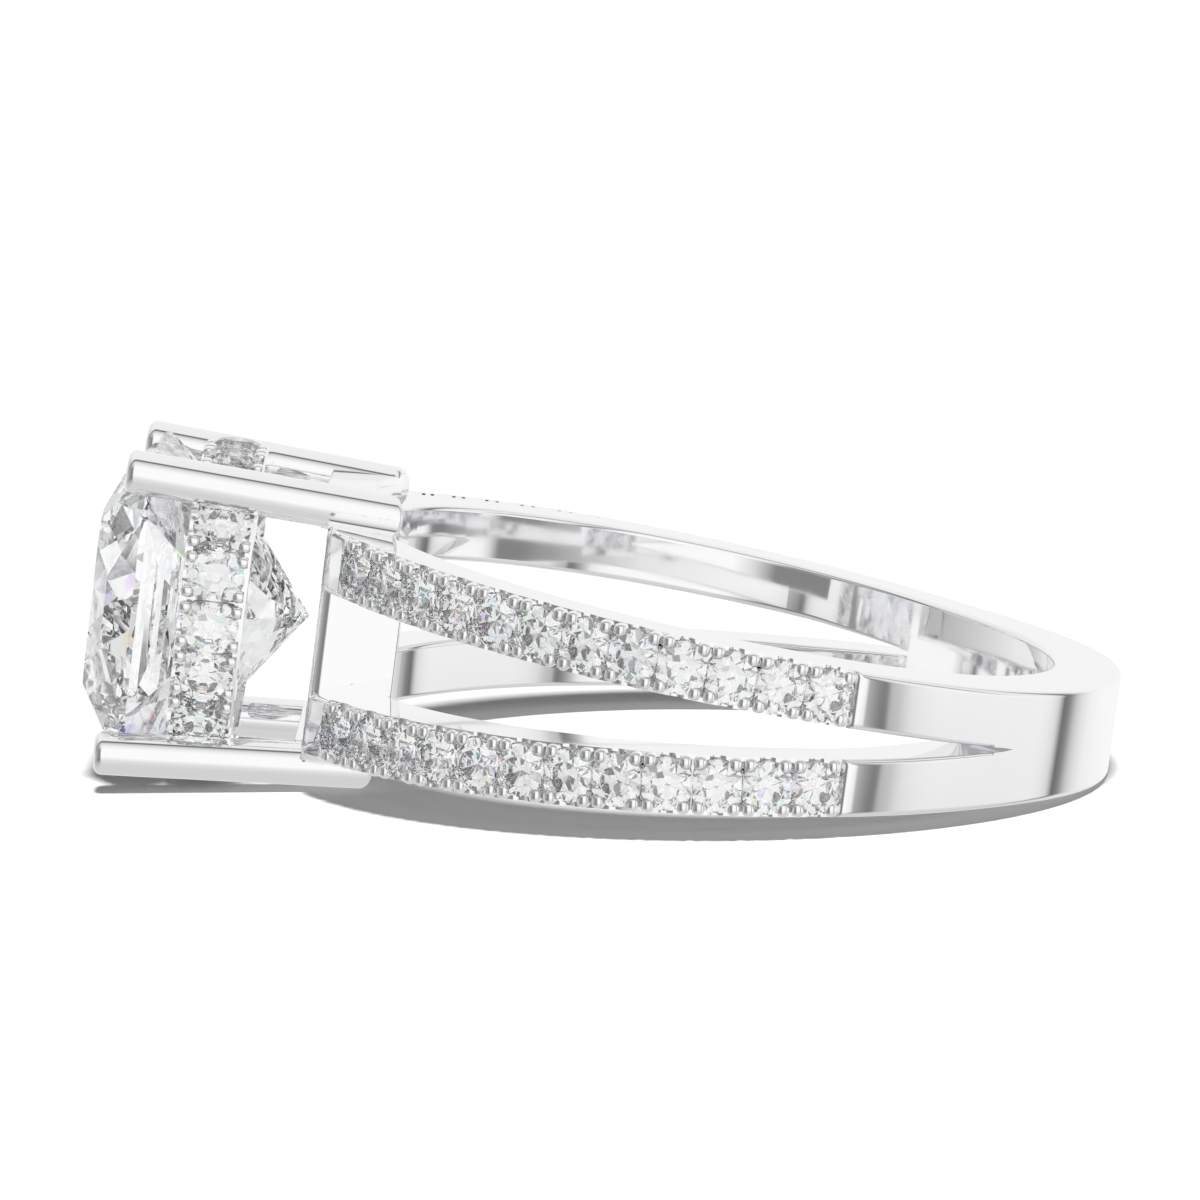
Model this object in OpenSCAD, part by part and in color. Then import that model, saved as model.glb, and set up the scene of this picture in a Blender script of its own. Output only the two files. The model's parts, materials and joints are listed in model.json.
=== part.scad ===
// Split shank ring with a square centre stone over a hidden halo.
// It lies on its side on a flat surface: -X is the head, +Z is up, and z = 0 is the surface.
// Each module draws its piece in the ring's own axes: -X the head, Z the finger's axis,
// and the middle of the finger hole at the origin. lay_down() then tips it to its rest.
// All sizes are in millimetres.

/* [Band] */
// Inside diameter of the ring, where the finger goes
finger_d = 16.5; // [16.4:0.05:16.6]
// Wall of the band at its sides
band_wall = 1.73; // [1.65:0.01:1.8]
// How much thinner the wall is at the foot of the band, opposite the head
band_thinning = 0.1; // [0.05:0.01:0.15]
// Width of the band at its foot
band_w = 2.47; // [2.4:0.01:2.6]
// Width over both arms, level with the finger's centre
split_w = 3.78; // [3.7:0.01:3.86]
// Rise of each arm's outer edge in one millimetre towards the head
edge_rise = 0.083; // [0.078:0.001:0.088]
// Radius that bends the foot's straight edge into the rising edge
edge_bend_r = 50; // [40:1:60]

/* [Split] */
// Gap between the arms, level with the finger's centre
gap_w = 1.1; // [1:0.01:1.2]
// Rise of each side of the gap in one millimetre towards the head
gap_rise = 0.0726; // [0.07:0.0001:0.076]
// Angle round the band from its foot to the root of the split
split_angle = 44; // [42:0.5:46]
// Distance from the finger's centre to where the split's sides meet
gap_root_x = 6.9; // [6.6:0.05:7]
// Distance from the finger's centre to where the gap's sides straighten
gap_knee_x = 3; // [2:0.1:4]
// How far the arms' inner wall stands back from the foot's inner wall
arm_relief = 0.02; // [0.01:0.01:0.04]

/* [Head] */
// Distance from the finger's centre to the stone's table
table_x = 14.56; // [14.5:0.01:14.6]
// Distance from the finger's centre to the prongs' tips
prong_tip_x = 14.02; // [13.9:0.01:14.1]
// Diameter of each prong
prong_d = 1.02; // [0.96:0.01:1.06]
// Rounding of each prong's tip
prong_tip_r = 0.2; // [0.15:0.01:0.25]
// Distance from the head's axis to each prong's centre at the finger hole, along Y and along Z
prong_foot_y = 3.0; // [2.98:0.01:3.04]
// The same at the tips
prong_tip_y = 3.33; // [3.31:0.01:3.36]
// Distance from the finger's centre to the gallery rails' outer face
rail_x = 9.45; // [9.42:0.01:9.47]
// Height of the gallery rails' outer faces above the head's axis
rail_top_z = 3.27; // [3.2:0.01:3.3]
// Thickness of the gallery rails
rail_wall = 0.77; // [0.7:0.01:0.8]
// Distance from the finger's centre to the end of the arms
arm_end_x = 9.23; // [9.15:0.01:9.3]
// Distance from the head's axis to a side bridge's outer face
bridge_y = 3.84; // [3.75:0.01:3.9]

/* [Hidden halo] */
// Distance from the finger's centre to the halo band's lower edge
halo_low_x = 10.91; // [10.88:0.01:10.95]
// Width of the halo band along the head
halo_w = 1.54; // [1.5:0.01:1.56]
// Distance from the head's axis to the middle of each side of the halo
halo_half = 3.87; // [3.85:0.01:3.9]
// Radius of each bowed side of the halo
halo_side_r = 5.2; // [5.1:0.05:5.3]
// Wall of the halo band
halo_wall = 0.74; // [0.72:0.01:0.76]
// Height of the thin rail along both edges of the halo
halo_lip = 0.18; // [0.17:0.01:0.19]
// Width of that rail
halo_lip_w = 0.08; // [0.06:0.01:0.1]
// Stones on each side of the halo
halo_count = 5; // [5:1:5]
// Turn round a side's centre from one halo stone to the next
halo_pitch_angle = 13.2; // [13.1:0.05:13.3]

/* [Arm stones] */
// Stones on each arm
arm_count = 12; // [10:1:12]
// Angle round the band from its foot to the arms' first stone
arm_first_angle = 76.7; // [76:0.1:77]
// Angle from one arm stone to the next
arm_pitch_angle = 6.44; // [6.4:0.01:6.48]
// Depth of the sunk bed that the arm stones lie in
bed_depth = 0.2; // [0.15:0.01:0.22]

/* [Centre stone] */
// Width of the centre stone over its flat sides
stone_w = 7.4; // [7.36:0.01:7.42]
// Distance from the stone's centre to the middle of each cut corner
stone_corner = 4.24; // [4.2:0.01:4.26]
// Height of the crown, from the girdle to the table
crown_h = 1.04; // [1:0.01:1.08]
// Thickness of the girdle
girdle_t = 0.14; // [0.1:0.01:0.16]
// Depth of the pavilion, from the girdle to the culet
pavilion_h = 3.88; // [3.85:0.01:3.9]

/* [Hidden] */
$fn = 96;

finger_r = finger_d/2;
band_r = finger_r + band_wall;
// The outer wall's centre lies a little towards the head, which thins the foot
band_foot_x = band_r - band_thinning;
// Size of a cutter that reaches well past the ring
far_out = 20;
// How far a cutter or an outline reaches past what it meets
margin = 1;
// How far inside the finger hole's radius the head's bars start, before the hole is cut
bar_start = 2;
// Overlap that makes two joined shapes one solid
weld = 0.3;
prong_r = prong_d/2;

// The edge bend is tangent to the foot's edge and to the rising edge
bend_x = (split_w/2 - band_w/2 + edge_bend_r*(sqrt(1 + edge_rise*edge_rise) - 1))/edge_rise;
bend_end_x = bend_x - edge_bend_r*edge_rise/sqrt(1 + edge_rise*edge_rise);

// Gap between two neighbouring stones, and between a stone and its metal
stone_gap = 0.1;
seat_gap = 0.03;

// Small stones: the crown is about a quarter of the height
small_crown_h = 0.15;
small_girdle_t = 0.03;
small_pavilion_h = 0.49;
small_table = 0.56;
arm_stone_across = 1.16;
arm_stone_lift = 0.08;
arm_pitch = (band_r - bed_depth + arm_stone_lift)*arm_pitch_angle*PI/180;
arm_stone_along = arm_pitch - stone_gap;
halo_stone_across = 1.26;
halo_stone_lift = 0.07;
halo_bed_r = halo_side_r - halo_lip;
halo_pitch = (halo_bed_r + halo_stone_lift)*halo_pitch_angle*PI/180;
halo_stone_along = halo_pitch - stone_gap;
// The last stone of each halo side is cut shorter beside the prong
halo_end_trim = 0.09;
halo_mid_x = halo_low_x + halo_w/2;
// Turn by which the beds' ends stand off half a pitch past the end stones, at foot and head
bed_foot_turn = 0.6;
bed_head_turn = 0.3;

// Drilled seats: cones a little narrower than half the pitch at the bed
seat_depth = 0.51;
seat_tip_r = 0.06;
arm_seat_r = 0.54;
halo_seat_r = 0.56;

// The cone that eases the halo's upper inner edge, which clears the stone's corners
halo_ease_depth = 0.25;
halo_ease_low_r = 3.18;
halo_ease_high_r = 3.5;
// The pavilion's breaks, as [drop below the girdle, half width, corner distance]
PAVILION = [[0.95, 3.02, 3.3],
            [2.36, 2.1, 1.75],
            [3.41, 0.91, 0.8]];
// The crown, as [rise above the girdle, half width, corner distance]
CROWN = [[0, stone_w/2, stone_corner],
         [0.68, 2.95, 3.5],
         [crown_h, 2.15, 2.79]];
girdle_x = table_x - crown_h - girdle_t;
// How far a prong's notch reaches past the girdle on each side
notch_rise = 0.13;

function prong_y(x) = prong_foot_y
    + (prong_tip_y - prong_foot_y)*(x - finger_r)/(prong_tip_x - finger_r);
// Half the width over both arms, and half the gap, at a distance x from the finger's centre
// towards the head
function edge_z(x) = split_w/2 + edge_rise*x;
function gap_z(x) = gap_w/2 + gap_rise*x;
function arm_z(x) = (edge_z(x) + gap_z(x))/2;
arm_rise = (edge_rise + gap_rise)/2;
// The arms' inner wall starts at the split and ends just short of the side bridges
arm_wall_foot_x = finger_r*cos(split_angle);
arm_wall_head_x = sqrt(finger_r*finger_r - bridge_y*bridge_y) - seat_gap;

// The ring rests on the two lower prongs' feet, where the finger hole cuts them, and on the
// lower edge of the band's foot
prong_rest_y = prong_y(sqrt(finger_r*finger_r - prong_foot_y*prong_foot_y));
prong_rest_x = sqrt(finger_r*finger_r - prong_rest_y*prong_rest_y);
tilt = atan((prong_rest_y + prong_r - band_w/2)/(prong_rest_x + band_foot_x));
rest_z = band_foot_x*sin(tilt) + band_w/2*cos(tilt);
// The rest's lowest and furthest points set the origin under the middle of the ring
foot_end_x = band_foot_x*cos(tilt) + band_w/2*sin(tilt);
head_end_x = table_x*cos(tilt) + CROWN[2][1]*sin(tilt);
origin_x = (head_end_x - foot_end_x)/2;

module lay_down() {
    translate([origin_x, 0, rest_z]) rotate([0, tilt, 0]) children();
}

// Extrudes a side view, drawn with X to the foot and Y up the finger's axis, across the ring
module across() {
    rotate([90, 0, 0]) translate([0, 0, -far_out]) linear_extrude(2*far_out) children();
}

// Extrudes a front view of the head, drawn with X across the ring and Y up the finger's axis,
// from one distance from the finger's centre to another
module along_head(from, to) {
    translate([-from, 0, 0]) rotate([90, 0, -90]) linear_extrude(to - from) children();
}

// A tall wedge round the finger's axis between two angles counted from the foot
module sector(from, to) {
    middle = (from + to)/2;
    translate([0, 0, -far_out])
        linear_extrude(2*far_out)
            polygon([[0, 0],
                     [far_out*cos(from), far_out*sin(from)],
                     [far_out*cos(middle), far_out*sin(middle)],
                     [far_out*cos(to), far_out*sin(to)]]);
}

module finger_hole() {
    translate([0, 0, -far_out]) cylinder(h = 2*far_out, r = finger_r);
    // the arms' inner wall stands a little back from the foot's
    translate([0, 0, -far_out])
        intersection() {
            cylinder(h = 2*far_out, r = finger_r + arm_relief);
            translate([-arm_wall_head_x, -far_out, 0])
                cube([arm_wall_head_x + arm_wall_foot_x, 2*far_out, 2*far_out]);
        }
}

// Side view of the band's upper half: a straight rising edge bent into the foot
module upper_edge() {
    difference() {
        polygon([[-arm_end_x, 0],
                 [-arm_end_x, edge_z(arm_end_x)],
                 [bend_end_x, edge_z(-bend_end_x)],
                 [band_r + margin, edge_z(-bend_end_x)],
                 [band_r + margin, 0]]);
        intersection() {
            translate([bend_x, band_w/2 + edge_bend_r]) circle(r = edge_bend_r, $fn = 720);
            translate([bend_end_x, 0]) square([band_r, band_w]);
        }
    }
}

module gap_view() {
    polygon([[gap_root_x, 0],
             [gap_knee_x, gap_z(-gap_knee_x)],
             [-band_r - margin, gap_z(band_r + margin)],
             [-band_r - margin, -gap_z(band_r + margin)],
             [gap_knee_x, -gap_z(-gap_knee_x)]]);
}

// The split stops at a radial face on both sides of the foot
module split_gap() {
    intersection() {
        across() gap_view();
        for (side = [0, 1])
            mirror([0, side, 0]) sector(split_angle, 180);
    }
}

// The sunk bed along the outside of the arms, in both sides' wedges
module pave_beds() {
    half_pitch = arm_pitch_angle/2;
    difference() {
        for (side = [0, 1])
            mirror([0, side, 0])
                sector(arm_first_angle - half_pitch - bed_foot_turn,
                       arm_first_angle + arm_count*arm_pitch_angle - half_pitch + bed_head_turn);
        translate([-band_thinning, 0, -far_out]) cylinder(h = 2*far_out, r = band_r - bed_depth);
    }
}

// Puts its children at one arm stone: Z outwards from the bed, X along the arm
module at_arm_stone(i, upper, near) {
    angle = arm_first_angle + i*arm_pitch_angle;
    bed_r = band_r - bed_depth;
    toward_head = -bed_r*cos(angle) + band_thinning;
    mirror([0, near ? 1 : 0, 0])
        translate([-toward_head, bed_r*sin(angle), (upper ? 1 : -1)*arm_z(toward_head)])
            rotate([0, 0, angle])
                rotate([0, 90, 0])
                    rotate([0, 0, 90 + (upper ? 1 : -1)*atan(arm_rise*sin(angle))])
                        children();
}

// Puts its children at one halo stone: Z outwards from the bed, X round the halo
module at_halo_stone(i, side) {
    turn = (i - (halo_count - 1)/2)*halo_pitch_angle;
    rotate([90*side, 0, 0])
        translate([-halo_mid_x, halo_half - halo_side_r, 0])
            rotate([turn, 0, 0])
                translate([0, halo_bed_r, 0])
                    rotate([-90, 0, 0]) rotate([0, 0, 90])
                        children();
}

module seat(r) {
    rise = 0.1;
    slope = (r - seat_tip_r)/seat_depth;
    translate([0, 0, -seat_depth])
        cylinder(h = seat_depth + rise, r1 = seat_tip_r, r2 = r + slope*rise, $fn = 32);
}

// Front view of the halo with its sides drawn in by an offset
module halo_outline(inset) {
    intersection_for(turn = [0 : 3])
        rotate(90*turn)
            translate([halo_half - halo_side_r, 0]) circle(r = halo_side_r - inset, $fn = 180);
}

module halo_band() {
    difference() {
        union() {
            along_head(halo_low_x, halo_low_x + halo_w) halo_outline(halo_lip);
            along_head(halo_low_x, halo_low_x + halo_lip_w) halo_outline(0);
            along_head(halo_low_x + halo_w - halo_lip_w, halo_low_x + halo_w) halo_outline(0);
        }
        along_head(halo_low_x - margin, halo_low_x + halo_w + margin) halo_outline(halo_wall);
        translate([-halo_low_x - halo_w, 0, 0])
            rotate([0, 90, 0])
                cylinder(h = halo_ease_depth, r1 = halo_ease_high_r, r2 = halo_ease_low_r);
    }
}

// A round bar from the finger hole to a rounded tip, spread a little outwards
module prong(y_side, z_side) {
    start_x = finger_r - bar_start;
    start_y = prong_y(start_x);
    spread = prong_tip_y - start_y;
    reach = prong_tip_x - start_x;
    length = sqrt(reach*reach + 2*spread*spread);
    direction = [-reach, y_side*spread, z_side*spread];
    translate([-start_x, y_side*start_y, z_side*start_y])
        rotate([0, acos(direction[2]/length), atan2(direction[1], direction[0])])
            rotate_extrude() {
                square([prong_r, length - prong_tip_r]);
                square([prong_r - prong_tip_r, length]);
                intersection() {
                    translate([prong_r - prong_tip_r, length - prong_tip_r])
                        circle(r = prong_tip_r);
                    square([prong_r, length]);
                }
            }
}

module gallery_rail() {
    translate([-rail_x, -prong_foot_y, rail_top_z - rail_wall])
        cube([rail_x - finger_r + bar_start, 2*prong_foot_y, rail_wall]);
}

module side_bridge() {
    half = gap_z(arm_end_x) + weld;
    translate([-arm_end_x, prong_foot_y, -half])
        cube([arm_end_x - finger_r + bar_start, bridge_y - prong_foot_y, 2*half]);
}

// The arms and the foot, before the finger hole is cut
module split_band() {
    difference() {
        intersection() {
            translate([-band_thinning, 0, -far_out]) cylinder(h = 2*far_out, r = band_r);
            across() {
                upper_edge();
                mirror([0, 1]) upper_edge();
            }
        }
        split_gap();
        pave_beds();
        // the window under the stone
        translate([-far_out, -prong_foot_y, -far_out])
            cube([far_out - finger_r + bar_start, 2*prong_foot_y, 2*far_out]);
    }
}

// A saw cut in each prong's inner side, which holds one corner of the stone
module prong_notches() {
    along_head(girdle_x - notch_rise, girdle_x + girdle_t + notch_rise)
        rotate(45) square(2*(stone_corner + seat_gap), center = true);
}

module mounting_metal() {
    difference() {
        union() {
            split_band();
            for (side = [0, 1]) {
                mirror([0, side, 0]) side_bridge();
                mirror([0, 0, side]) gallery_rail();
            }
            difference() {
                union() {
                    halo_band();
                    for (y_side = [-1, 1], z_side = [-1, 1]) prong(y_side, z_side);
                }
                prong_notches();
            }
        }
        finger_hole();
        for (upper = [false, true], near = [false, true], i = [0 : arm_count - 1])
            at_arm_stone(i, upper, near) seat(arm_seat_r);
        for (side = [0 : 3], i = [0 : halo_count - 1])
            at_halo_stone(i, side) seat(halo_seat_r);
    }
}

// Polar radius of a square with cut corners
function cut_square_r(half, corner, angle) =
    min(half/max(abs(cos(angle)), abs(sin(angle))),
        corner*sqrt(2)/(abs(cos(angle)) + abs(sin(angle))));
function cut_square_points(level, half, corner, angles) =
    [for (angle = angles)
        let (r = cut_square_r(half, corner, angle))
            [r*cos(angle), r*sin(angle), level]];
// Angles of the eight corners of a square with cut corners
function corner_angles(half, corner) =
    let (lean = atan((corner*sqrt(2) - half)/half))
        [for (turn = [0 : 3], side = [-1, 1]) 90*turn + side*lean];
function steady_angles(count, first) = [for (i = [0 : count - 1]) first + 360*i/count];

// The stone with its table up, its girdle's lower edge at z = 0
module cut_stone() {
    points = concat(
        cut_square_points(girdle_t + CROWN[2][0], CROWN[2][1], CROWN[2][2],
                          corner_angles(CROWN[2][1], CROWN[2][2])),
        cut_square_points(girdle_t + CROWN[1][0], CROWN[1][1], CROWN[1][2],
                          steady_angles(16, 0)),
        cut_square_points(girdle_t, stone_w/2, stone_corner,
                          corner_angles(stone_w/2, stone_corner)),
        cut_square_points(0, stone_w/2, stone_corner,
                          corner_angles(stone_w/2, stone_corner)),
        [for (row = PAVILION)
            each cut_square_points(-row[0], row[1], row[2], steady_angles(8, 0))],
        [[0, 0, -pavilion_h]]);
    hull() polyhedron(points = points, faces = [[for (i = [0 : len(points) - 1]) i]]);
}

// A small round stone, its two sides along the row cut flat beside its neighbours, and cut
// further by trim at the row's two ends. Its table is up and its girdle's lower edge is at z = 0.
module small_stone(across, along, trim = [0, 0]) {
    r = across/2;
    girdle = [for (i = [0 : 15])
        let (turn = 360/16*i)
            [max(trim[0] - along/2, min(along/2 - trim[1], r*cos(turn))), r*sin(turn)]];
    table = [for (i = [0 : 7]) small_table*girdle[2*i]];
    crown_z = small_girdle_t + small_crown_h;
    points = concat(
        [for (p = table) [p[0], p[1], crown_z]],
        [for (p = girdle) [p[0], p[1], small_girdle_t]],
        [for (p = girdle) [p[0], p[1], 0]],
        [[0, 0, -small_pavilion_h]]);
    upper = 8;
    lower = 24;
    culet = 40;
    faces = concat(
        [[for (i = [7 : -1 : 0]) i]],
        [for (i = [0 : 7]) [i, (i + 1) % 8, upper + 2*i + 1]],
        [for (i = [0 : 7]) [i, upper + 2*i + 1, upper + 2*i]],
        [for (i = [0 : 7]) [i, upper + 2*i, upper + (2*i + 15) % 16]],
        [for (i = [0 : 15]) [upper + i, upper + (i + 1) % 16, lower + (i + 1) % 16, lower + i]],
        [for (i = [0 : 15]) [lower + i, lower + (i + 1) % 16, culet]]);
    polyhedron(points = points, faces = faces);
}

module mounting() {
    color("gainsboro") lay_down() mounting_metal();
}

module centre_stone() {
    color("aliceblue") lay_down()
        translate([-girdle_x, 0, 0]) rotate([0, -90, 0]) cut_stone();
}

module halo_stones() {
    color("lightcyan") lay_down()
        for (side = [0 : 3], i = [0 : halo_count - 1])
            at_halo_stone(i, side)
                translate([0, 0, halo_stone_lift])
                    small_stone(halo_stone_across, halo_stone_along,
                                halo_end_trim*[i == halo_count - 1 ? 1 : 0, i == 0 ? 1 : 0]);
}

// Both rows of stones on one side's two arms
module arm_stones(near) {
    color("lightcyan") lay_down()
        for (upper = [false, true], i = [0 : arm_count - 1])
            at_arm_stone(i, upper, near)
                translate([0, 0, arm_stone_lift])
                    small_stone(arm_stone_across, arm_stone_along);
}

module near_arm_stones() {
    arm_stones(true);
}

module far_arm_stones() {
    arm_stones(false);
}

mounting();
centre_stone();
halo_stones();
near_arm_stones();
far_arm_stones();
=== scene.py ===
"""Split shank ring with a square centre stone over a hidden halo, lying on its side.

Every piece is modelled in millimetres in the ring's own axes (-X the head, Z the finger's axis,
the middle of the finger hole at the origin) and is laid into the frame as it is finished.
"""

import json
import logging
from contextlib import contextmanager
from dataclasses import dataclass, field
from enum import Enum
from itertools import pairwise, product
from math import asin, atan2, cos, degrees, hypot, pi, radians, sin, sqrt
from typing import Callable, Iterator

import bmesh
import bpy
from mathutils import Matrix, Vector


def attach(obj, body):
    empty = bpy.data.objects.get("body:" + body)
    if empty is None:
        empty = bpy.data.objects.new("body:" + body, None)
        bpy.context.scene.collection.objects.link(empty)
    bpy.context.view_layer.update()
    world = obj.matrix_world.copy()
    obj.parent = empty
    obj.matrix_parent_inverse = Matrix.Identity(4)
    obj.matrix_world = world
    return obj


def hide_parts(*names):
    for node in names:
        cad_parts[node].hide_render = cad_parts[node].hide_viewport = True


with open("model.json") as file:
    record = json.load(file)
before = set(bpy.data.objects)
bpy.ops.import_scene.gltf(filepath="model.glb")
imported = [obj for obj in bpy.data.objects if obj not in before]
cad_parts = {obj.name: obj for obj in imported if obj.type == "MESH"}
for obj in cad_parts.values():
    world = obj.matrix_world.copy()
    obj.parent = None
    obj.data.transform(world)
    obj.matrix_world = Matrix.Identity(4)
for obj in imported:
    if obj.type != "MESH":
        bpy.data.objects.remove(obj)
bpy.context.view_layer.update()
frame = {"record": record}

LOG = logging.getLogger("split_shank_ring")
# A millimetre in metres
MM = 0.001
# How near two points lie that are one, in millimetres
TOUCH = 1e-4
# How near a face or an edge lies to the place that it is picked by, in millimetres
NEAR_BY = 0.02
# The gap between neighbouring small stones, in millimetres
STONE_GAP = 0.03


class Side(Enum):
    """The two sides of the ring, as seen in the photograph."""

    NEAR = -1
    FAR = 1


class Level(Enum):
    """The two arms on each side of the ring."""

    LOWER = -1
    UPPER = 1


ARMS = [(side, level) for side in Side for level in Level]

Piece = bpy.types.Object
Tree = bpy.types.NodeTree
Socket = bpy.types.NodeSocket
# The positions or angles along a ramp, each with its grey
Stops = tuple[tuple[float, float], ...]
# A point and the outward normal of each flat facet
Planes = list[tuple[Vector, Vector]]


def leave_edit_mode() -> None:
    """Goes back to object mode with nothing selected."""
    if bpy.context.object is not None and bpy.context.object.mode != "OBJECT":
        bpy.ops.object.mode_set(mode="OBJECT")
    bpy.ops.object.select_all(action="DESELECT")


def make_active(piece: Piece) -> None:
    """Selects one object alone and makes it the active one.

    Args:
        piece: The object to work on.
    """
    leave_edit_mode()
    piece.select_set(True)
    bpy.context.view_layer.objects.active = piece


@contextmanager
def editing(piece: Piece, select: str = "FACE") -> Iterator[None]:
    """Holds one object in edit mode, starting with nothing selected.

    Args:
        piece: The object to edit.
        select: The select mode, VERT, EDGE or FACE.
    """
    make_active(piece)
    bpy.ops.object.mode_set(mode="EDIT")
    bpy.ops.mesh.select_mode(type=select)
    bpy.ops.mesh.select_all(action="DESELECT")
    yield
    bpy.ops.object.mode_set(mode="OBJECT")


def pick_faces(piece: Piece, wanted: Callable[[Vector, Vector], bool]) -> None:
    """Selects faces by their middle and their normal, in face mode.

    Args:
        piece: The object in edit mode.
        wanted: Says whether a face with this middle and normal is selected.
    """
    shape = bmesh.from_edit_mesh(piece.data)
    for face in shape.faces:
        if wanted(face.calc_center_median(), face.normal):
            face.select_set(True)
    bmesh.update_edit_mesh(piece.data)


def middle_of(edge: bmesh.types.BMEdge) -> Vector:
    """The middle of an edge."""
    return (edge.verts[0].co + edge.verts[1].co)/2


def angle_of(point: Vector) -> float:
    """Angle of a point from the foot, in degrees."""
    return degrees(atan2(abs(point.y), point.x))


def pick_sharp_edges(piece: Piece, wanted: Callable[[Vector], bool], bend: float = 50) -> int:
    """Selects the edges that bend sharply and whose middle passes a test, in edge mode.

    Args:
        piece: The object in edit mode.
        wanted: Says whether an edge with this middle is selected.
        bend: The least angle between the edge's two faces, in degrees.

    Returns:
        How many edges were selected.
    """
    shape = bmesh.from_edit_mesh(piece.data)
    found = [e for e in shape.edges
             if len(e.link_faces) == 2 and e.calc_face_angle(0) > radians(bend)
             and wanted(middle_of(e))]
    for edge in found:
        edge.select_set(True)
    bmesh.update_edit_mesh(piece.data)
    return len(found)


def round_edges(piece: Piece, width: float, segments: int,
                wanted: Callable[[Vector], bool] = lambda middle: True, bend: float = 50) -> None:
    """Bevels an object's sharp edges.

    Args:
        piece: The object.
        width: The bevel's width in millimetres.
        segments: How many strips the bevel has.
        wanted: Says whether an edge with this middle is bevelled.
        bend: The least angle between the edge's two faces, in degrees.
    """
    with editing(piece, "EDGE"):
        if pick_sharp_edges(piece, wanted, bend):
            bpy.ops.mesh.bevel(offset=width, segments=segments, profile=0.5, affect="EDGES")


def close_up(piece: Piece) -> None:
    """Merges doubled points and turns all faces outwards.

    Args:
        piece: The object.
    """
    with editing(piece, "VERT"):
        bpy.ops.mesh.select_all(action="SELECT")
        bpy.ops.mesh.remove_doubles(threshold=TOUCH)
        bpy.ops.mesh.normals_make_consistent(inside=False)


def modify(piece: Piece, kind: str, **settings: object) -> None:
    """Gives an object a modifier and applies it.

    Args:
        piece: The object.
        kind: The modifier's type.
        settings: The modifier's own settings.
    """
    make_active(piece)
    bpy.ops.object.modifier_add(type=kind)
    modifier = piece.modifiers[-1]
    for name, value in settings.items():
        setattr(modifier, name, value)
    bpy.ops.object.modifier_apply(modifier=modifier.name)


def smooth(piece: Piece, angle: float = 35) -> None:
    """Shades the gentle bends smooth, with flat faces kept flat.

    Args:
        piece: The object.
        angle: Bends below this many degrees are smooth.
    """
    make_active(piece)
    bpy.ops.object.shade_smooth_by_angle(angle=radians(angle))
    modify(piece, "WEIGHTED_NORMAL", keep_sharp=True)


def new_piece(name: str) -> Piece:
    """Names the primitive that was just added and makes its place part of its mesh.

    Args:
        name: The piece's name.

    Returns:
        The active object.
    """
    bpy.ops.object.transform_apply(location=True, rotation=True, scale=True)
    piece = bpy.context.object
    piece.name = name
    piece.data.name = name
    return piece


def joined(name: str, pattern: Piece, places: list[Matrix]) -> Piece:
    """Makes one object out of copies of a pattern, and removes the pattern.

    Args:
        name: The new object's name.
        pattern: The object to repeat.
        places: Where each copy goes.

    Returns:
        The joined object.
    """
    mesh = pattern.data
    points: list[Vector] = []
    faces: list[list[int]] = []
    for place in places:
        start = len(points)
        points.extend(place @ v.co for v in mesh.vertices)
        turned = place.determinant() < 0
        for polygon in mesh.polygons:
            corners = [start + i for i in polygon.vertices]
            faces.append(corners[::-1] if turned else corners)
    whole = bpy.data.meshes.new(name)
    whole.from_pydata(points, [], faces)
    whole.update()
    piece = bpy.data.objects.new(name, whole)
    bpy.context.scene.collection.objects.link(piece)
    bpy.data.objects.remove(pattern)
    return piece


def carve(piece: Piece, cutter: Piece) -> None:
    """Cuts one object's shape out of another, and removes the cutter.

    Args:
        piece: The object that is cut.
        cutter: The shape to take away.
    """
    modify(piece, "BOOLEAN", operation="DIFFERENCE", solver="EXACT", object=cutter)
    bpy.data.objects.remove(cutter)


def scallop(radius: float, length: float) -> Piece:
    """Models the round cutter that files a notch beside a stone, lying along Y.

    Args:
        radius: The notch's radius in millimetres.
        length: The cutter's length in millimetres.

    Returns:
        The cutter.
    """
    leave_edit_mode()
    bpy.ops.mesh.primitive_cylinder_add(vertices=24, radius=radius, depth=length,
                                        rotation=(pi/2, 0, 0))
    return new_piece("scallop")


@dataclass(frozen=True)
class RestingPlace:
    """Where the ring lies, read from the frame's finger hole.

    Attributes:
        centre: The middle of the finger hole, in metres.
        axis: The direction of the finger.
    """

    centre: Vector
    axis: Vector

    @classmethod
    def from_frame(cls) -> "RestingPlace":
        """Reads the finger hole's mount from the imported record."""
        mounts = {m["name"]: m for m in frame["record"]["mounts"]}
        hole = mounts["finger_hole"]
        return cls(Vector(hole["pos_m"]), Vector(hole["axis"]).normalized())

    def matrix(self) -> Matrix:
        """Takes the ring's own axes in millimetres to the frame in metres."""
        tilt = atan2(self.axis.x, self.axis.z)
        return (Matrix.Translation(self.centre) @ Matrix.Rotation(tilt, 4, "Y")
                @ Matrix.Scale(MM, 4))


PLACE = RestingPlace.from_frame()


def add_node(tree: Tree, kind: str, inputs: dict[str | int, object] | None = None,
             **settings: object) -> bpy.types.Node:
    """Adds a shader node to a tree.

    Args:
        tree: The tree.
        kind: The node's type, without ShaderNode.
        inputs: The values of its sockets, by name or number.
        settings: Its own settings, which are set first.

    Returns:
        The node.
    """
    node = tree.nodes.new("ShaderNode" + kind)
    for name, value in settings.items():
        setattr(node, name, value)
    for socket, value in (inputs or {}).items():
        node.inputs[socket].default_value = value
    return node


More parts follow.
